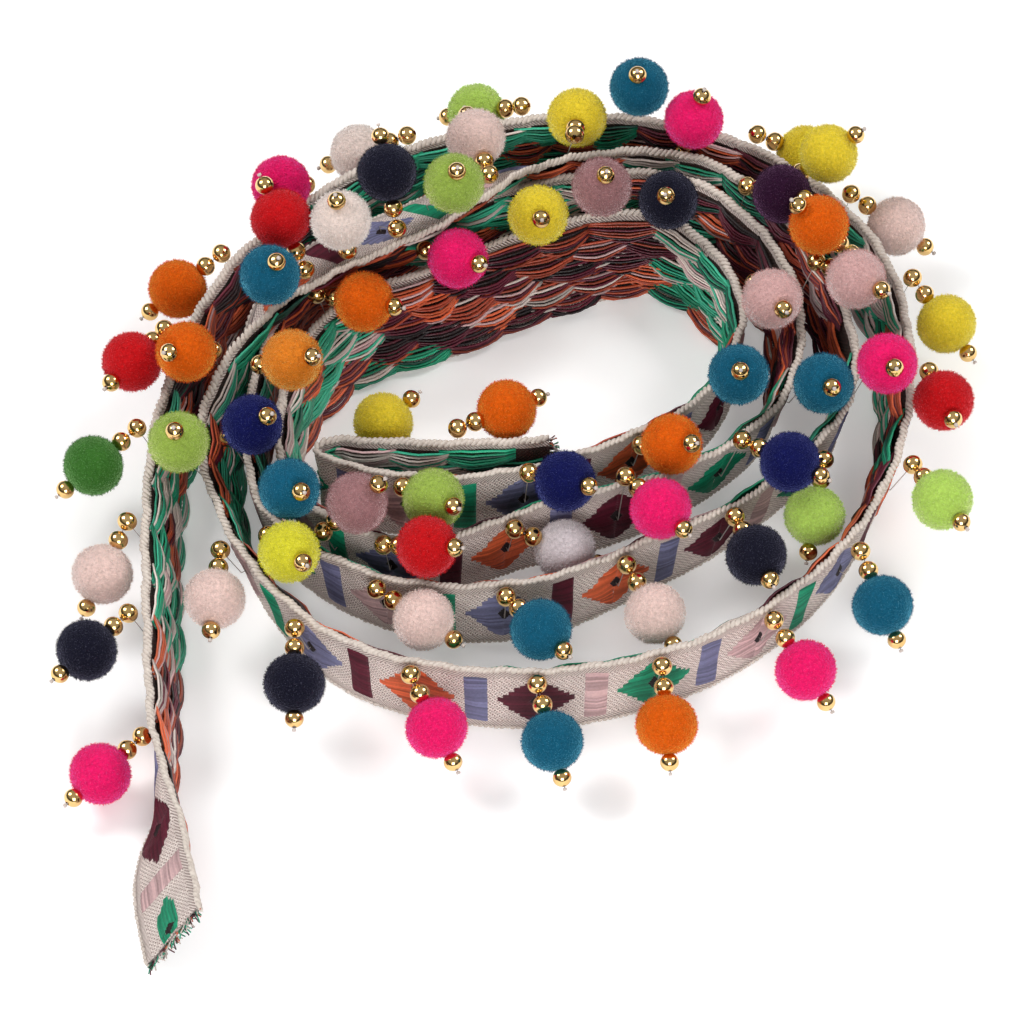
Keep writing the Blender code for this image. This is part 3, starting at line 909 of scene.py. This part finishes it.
class ShapeTree(Nodes):
    """A Geometry Nodes tree with named inputs."""

    def __init__(self, name, inputs):
        super().__init__(bpy.data.node_groups.new(name, "GeometryNodeTree"))
        face = self.tree.interface
        face.new_socket("Geometry", in_out="INPUT", socket_type="NodeSocketGeometry")
        face.new_socket("Geometry", in_out="OUTPUT", socket_type="NodeSocketGeometry")
        self.keys = {}
        for key, kind in inputs.items():
            self.keys[key] = face.new_socket(key, in_out="INPUT", socket_type=kind).identifier
        self.start = self.tree.nodes.new("NodeGroupInput")
        self.end = self.tree.nodes.new("NodeGroupOutput")

    def given(self, name):
        return self.start.outputs[name]

    def attribute(self, name, kind):
        return self.node("GeometryNodeInputNamedAttribute", {"data_type": kind}, {"Name": name}).outputs[0]

    def close(self, geometry):
        """Makes the copies real and gives them their material."""
        real = self.node("GeometryNodeRealizeInstances", None, {0: geometry}).outputs[0]
        sockets = {0: real, "Material": self.given("Material")}
        dressed = self.node("GeometryNodeSetMaterial", None, sockets)
        self.join(self.end.inputs[0], dressed.outputs[0])


def place_tree():
    """Sets a shape on each place, turned by the place's own directions."""
    tree = ShapeTree("set_out", {"Shape": "NodeSocketObject", "Material": "NodeSocketMaterial"})
    shape = tree.node("GeometryNodeObjectInfo", None, {"Object": tree.given("Shape")})
    turned = tree.node("FunctionNodeAlignRotationToVector", {"axis": "Z"}, {
        "Vector": tree.attribute("along", "FLOAT_VECTOR"),
    })
    faced = tree.node("FunctionNodeAlignRotationToVector", {"axis": "X", "pivot_axis": "Z"}, {
        "Rotation": turned.outputs[0],
        "Vector": tree.attribute("rise", "FLOAT_VECTOR"),
    })
    setting = tree.node("GeometryNodeInstanceOnPoints", None, {
        "Points": tree.given("Geometry"),
        "Instance": shape.outputs["Geometry"],
        "Rotation": faced.outputs[0],
        "Scale": tree.attribute("size", "FLOAT"),
    })
    tree.close(setting.outputs[0])
    return tree


def pile_tree():
    """Covers a felt ball with short fibres that stand on it at all angles."""
    tree = ShapeTree("felt_pile", {
        "Fibre": "NodeSocketObject",
        "Density": "NodeSocketFloat",
        "Seed": "NodeSocketInt",
        "Material": "NodeSocketMaterial",
    })
    strewn = tree.node("GeometryNodeDistributePointsOnFaces", None, {
        "Mesh": tree.given("Geometry"),
        "Density": tree.given("Density"),
        "Seed": tree.given("Seed"),
    })
    fibre = tree.node("GeometryNodeObjectInfo", None, {"Object": tree.given("Fibre")})
    tilt = tree.node("FunctionNodeRandomValue", {"data_type": "FLOAT_VECTOR"}, {
        0: tuple(-angle for angle in PILE_TILT),
        1: PILE_TILT,
    })
    size = tree.node("FunctionNodeRandomValue", {"data_type": "FLOAT"}, {2: PILE_SIZES[0], 3: PILE_SIZES[1]})
    bent = tree.node("FunctionNodeRotateRotation", {"rotation_space": "LOCAL"}, {
        "Rotation": strewn.outputs["Rotation"],
        "Rotate By": tilt.outputs[0],
    })
    pile = tree.node("GeometryNodeInstanceOnPoints", None, {
        "Points": strewn.outputs["Points"],
        "Instance": fibre.outputs["Geometry"],
        "Rotation": bent.outputs[0],
        "Scale": size.outputs[1],
    })
    both = tree.node("GeometryNodeJoinGeometry")
    tree.join(both.inputs[0], tree.given("Geometry"))
    tree.join(both.inputs[0], pile.outputs[0])
    tree.close(both.outputs[0])
    return tree


def grown(made, name, tree, **values):
    """The object's mesh once the tree has worked on it, as a plain object of its own."""
    modifier = made.modifiers.new(name, "NODES")
    modifier.node_group = tree.tree
    for key, value in values.items():
        modifier[tree.keys[key]] = value
    mesh = changed_mesh(made)
    bpy.data.objects.remove(made)
    mesh.name = name
    mesh.polygons.foreach_set("use_smooth", [True] * len(mesh.polygons))
    return add_object(name, mesh)


def turned_shape(name, outline, steps):
    """A shape turned round Z from its outline, which runs from top to bottom."""
    mesh = bpy.data.meshes.new(name)
    corners = [(radius * MM, 0.0, height * MM) for radius, height in outline]
    mesh.from_pydata(corners, [(i, i + 1) for i in range(len(corners) - 1)], [])
    made = add_object(name, mesh)
    screw = made.modifiers.new("turn", "SCREW")
    screw.steps = steps
    screw.render_steps = steps
    screw.use_merge_vertices = True
    screw.merge_threshold = 0.00001
    plain = changed_mesh(made)
    made.modifiers.clear()
    made.data = plain
    return made


def round_outline(radius, squash, hole, count):
    """Half the outline of a ball, stretched or flattened, from its top hole to its bottom one."""
    start = math.asin(hole / radius)
    angles = np.linspace(start, math.pi - start, count)
    return [(max(radius * math.sin(a), 0.0), radius * squash * math.cos(a)) for a in angles]


def make_rims(cloth, tree, finish, rng):
    """The rope-like edges: slanting stitches wrapped round both edges of the tape."""
    stitch = turned_shape("stitch", round_outline(STITCH_RADIUS, STITCH_STRETCH, 0.0, 5), 6)
    s = np.arange(0.4, cloth.length - 0.3, RIM_PITCH)
    pieces = []
    for name, edge in (("upper_edge", 1), ("lower_edge", -1)):
        places = cloth.at(s, edge * RIM_PLACE, 0.0)
        ahead = cloth.at(s + 0.5, edge * RIM_PLACE, 0.0) - places
        ahead /= np.linalg.norm(ahead, axis=1, keepdims=True)
        rise = cloth.read(cloth.rise, s) * edge
        slant = ahead * 0.75 + cloth.read(cloth.normal, s) * 0.62 + rise * 0.25
        cloud = points_object(name + "_places", places, slant, rise, rng.uniform(0.9, 1.12, len(s)))
        pieces.append(grown(cloud, name, tree, Shape=stitch, Material=finish))
    bpy.data.objects.remove(stitch)
    return pieces


def make_beads(drops, tree, finish):
    bead = turned_shape("bead", round_outline(BEAD_RADIUS, 0.94, BEAD_HOLE, 10), 20)
    set_out = [(drop, ball) for drop in drops for ball in (0, 1, 3)]
    places = [in_frame(drop.balls[ball]) for drop, ball in set_out]
    alongs = [drop.direction for drop, _ in set_out]
    sizes = [END_BEAD if ball == 3 else 1.0 for _, ball in set_out]
    cloud = points_object("bead_places", places, alongs, [(0, 0, 1)] * len(places), sizes)
    made = grown(cloud, "gold_beads", tree, Shape=bead, Material=finish)
    bpy.data.objects.remove(bead)
    return made


def make_fibre():
    """One fibre of the pile: a sliver whose tip is marked for the glow painted on it."""
    half = PILE_WIDTH / 2 * MM
    mesh = bpy.data.meshes.new("fibre")
    mesh.from_pydata([(-half, 0, -0.00005), (half, 0, -0.00005), (0, 0, PILE_LENGTH * MM)], [], [(0, 1, 2)])
    mesh.attributes.new("tip", "FLOAT", "POINT").data.foreach_set("value", (0.0, 0.0, 1.0))
    return add_object("fibre", mesh)


def make_pompoms(drops, trees, finishes):
    """A piece for each felt colour: the balls, then their pile."""
    place, pile = trees
    ball = turned_shape("ball", round_outline(FELT_RADIUS, FELT_SQUASH, 0.0, 15), 24)
    fibre = make_fibre()
    pieces = []
    for number, colour in enumerate(sorted({drop.colour for drop in drops})):
        mine = [drop for drop in drops if drop.colour == colour]
        places = [in_frame(drop.balls[2]) for drop in mine]
        alongs = [drop.direction for drop in mine]
        name = "pompoms_" + colour.replace(" ", "_")
        finish = finishes[colour]
        cloud = points_object("places", places, alongs, [(0, 0, 1)] * len(mine), [1.0] * len(mine))
        balls = grown(cloud, "balls", place, Shape=ball, Material=finish)
        density = PILE_PER_MM2 * 1e6
        made = grown(balls, name, pile, Fibre=fibre, Density=density, Seed=number, Material=finish)
        pieces.append((made, colour))
    bpy.data.objects.remove(ball)
    bpy.data.objects.remove(fibre)
    return pieces


def make_threads(drops, finish):
    """The threads that hold the drops: from the tape through the beads and the pompom to the last bead."""
    threads = Threads()
    for drop in drops:
        tip = drop.balls[3] + drop.direction * (BEAD_RADIUS + 0.2)
        out = (drop.seat - drop.root) / np.linalg.norm(drop.seat - drop.root)
        path = np.array([drop.root - out * 0.75, drop.root + out * 0.1, drop.balls[0], drop.balls[2], tip])
        threads.add_tube(in_frame(path), THREAD_HALF, dyed("cream", 0.7), sides=5)
        knot = np.array([tip - drop.direction * 0.15, tip + drop.direction * 0.25])
        threads.add_tube(in_frame(knot), KNOT_HALF, dyed("cream"), sides=6)
    return threads.made("drop_threads", finish)


def make_stage():
    # The paper glows a little: painted light that lifts the shade on the floor
    paper = Finish("studio_paper", {
        "Roughness": 0.9,
        "Emission Strength": PAPER_GLOW,
        "Emission Color": (1.0, 1.0, 1.0, 1.0),
    })
    paper.colour(paper.mix(paper.noise(3.0, 1.0), rgba((0.88, 0.88, 0.88)), rgba((0.90, 0.90, 0.90))))
    corners = [(x * PAPER_HALF, y * PAPER_HALF, PAPER_LEVEL) for x, y in ((-1, -1), (1, -1), (1, 1), (-1, 1))]
    plain_mesh("floor", corners, [(0, 1, 2, 3)], paper.material)

    world = bpy.data.worlds.new("studio")
    world.use_nodes = True
    sky = Nodes(world.node_tree)
    ways = sky.node("ShaderNodeTexCoord").outputs["Generated"]
    parts = sky.node("ShaderNodeSeparateXYZ", None, {0: ways})
    ramp = sky.node("ShaderNodeValToRGB", None, {"Fac": parts.outputs["Z"]})
    for number, (place, grey) in enumerate(SKY):
        stops = ramp.color_ramp.elements
        stop = stops[number] if number < 2 else stops.new(place)
        stop.position = place
        stop.color = (grey, grey, grey, 1.0)
    background = world.node_tree.nodes["Background"]
    sky.join(background.inputs["Color"], ramp.outputs["Color"])
    sky.join(background.inputs["Strength"], SKY_STRENGTH)
    bpy.context.scene.world = world
    bpy.context.scene.view_settings.view_transform = "Standard"

    for name, place, size, power in SOFTBOXES:
        light = bpy.data.lights.new(name, "AREA")
        light.size = size
        light.energy = power
        made = add_object(name, light)
        made.location = place
        made.rotation_euler = (SOFTBOX_AIM - Vector(place)).to_track_quat("-Z", "Y").to_euler()


def make_camera():
    camera = bpy.data.cameras.new("camera")
    camera.lens = CAMERA_LENS
    camera.sensor_width = 36.0
    camera.clip_end = 20.0
    made = add_object("camera", camera)
    back = Vector((0.0, -math.cos(CAMERA_RISE), math.sin(CAMERA_RISE)))
    made.location = Vector(CAMERA_AIM) + back * CAMERA_REACH
    made.rotation_euler = (math.pi / 2 - CAMERA_RISE, 0.0, 0.0)
    bpy.context.scene.camera = made


def main():
    make_camera()
    make_stage()
    route = Route()
    cloth = Cloth(route)
    drops = [drop for strip in lay_drops(route) for drop in strip]
    rng = np.random.default_rng(7)

    set_out = place_tree()
    strewn = pile_tree()
    satin = yarn_finish("satin_yarn", 0.5, 0.3, 0.12)
    loose = yarn_finish("loose_yarn", 0.42, 0.55, 0.10)
    web = make_web(cloth, weave_finish())
    rims = make_rims(cloth, set_out, rope_finish(), rng)
    motifs = make_motifs(cloth, satin, rng)
    fray = make_fray(cloth, loose, rng)
    half = cloth.length / 2
    floats = [
        make_floats(cloth, loose, rng, 0.0, half, "floats_outer_turns"),
        make_floats(cloth, loose, rng, half, cloth.length, "floats_inner_turns"),
    ]
    beads = make_beads(drops, set_out, gold_finish())
    thread = make_threads(drops, loose)
    felts = {colour: felt_finish("felt_" + colour.replace(" ", "_"), SHADES[colour]) for colour in SHADES}
    pompoms = make_pompoms(drops, (set_out, strewn), felts)

    cloth_pieces = [web, motifs, fray, *rims, *floats]
    for piece in cloth_pieces + [beads, thread] + [piece for piece, _ in pompoms]:
        rest_on_table(piece)
        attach(piece, "root")
    for piece, colour in pompoms:
        "felt_" + NEAREST.get(colour, colour).replace(" ", "_")
    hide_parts("tape")
    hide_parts(*[name for name in frame["nodes"] if name != "tape"])


main()
